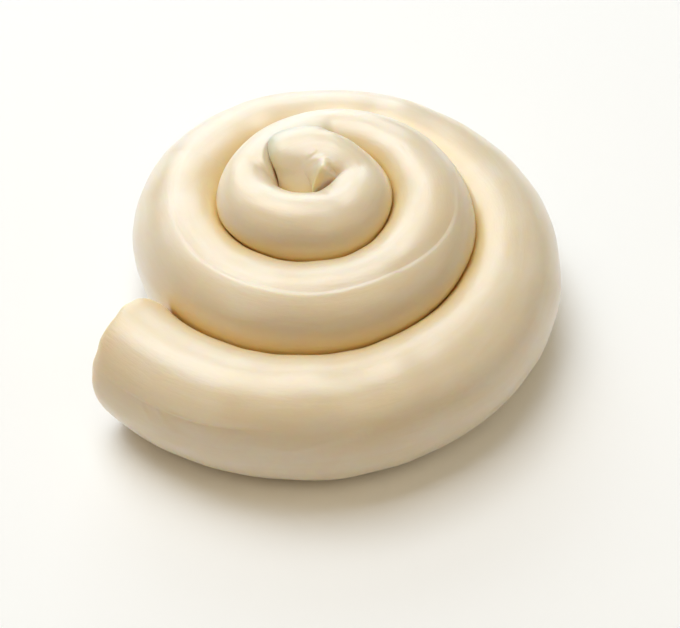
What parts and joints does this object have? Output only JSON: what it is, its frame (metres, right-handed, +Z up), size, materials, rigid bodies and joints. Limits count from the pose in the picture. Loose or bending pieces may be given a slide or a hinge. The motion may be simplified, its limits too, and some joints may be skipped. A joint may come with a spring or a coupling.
{
  "type": "asadero cheese ball",
  "caption": "Soft pale asadero cheese: a thick rope, cut at its outer end, wound into a flat-domed coil with its inner end curled over the middle.",
  "frame": {"origin": "middle of the bounding box, on the surface that the coil stands on", "axes": "+Z up; -Y towards the front, where the outer turn is farthest from the middle; the cut end is at the front left and the rope winds inwards anticlockwise, seen from above"},
  "size_m": [0.1228, 0.1338, 0.0439],
  "materials": {
    "cheese": "satin"
  },
  "bodies": {
    "root": {"cheese_coil": "cheese"}
  },
  "joints": []
}
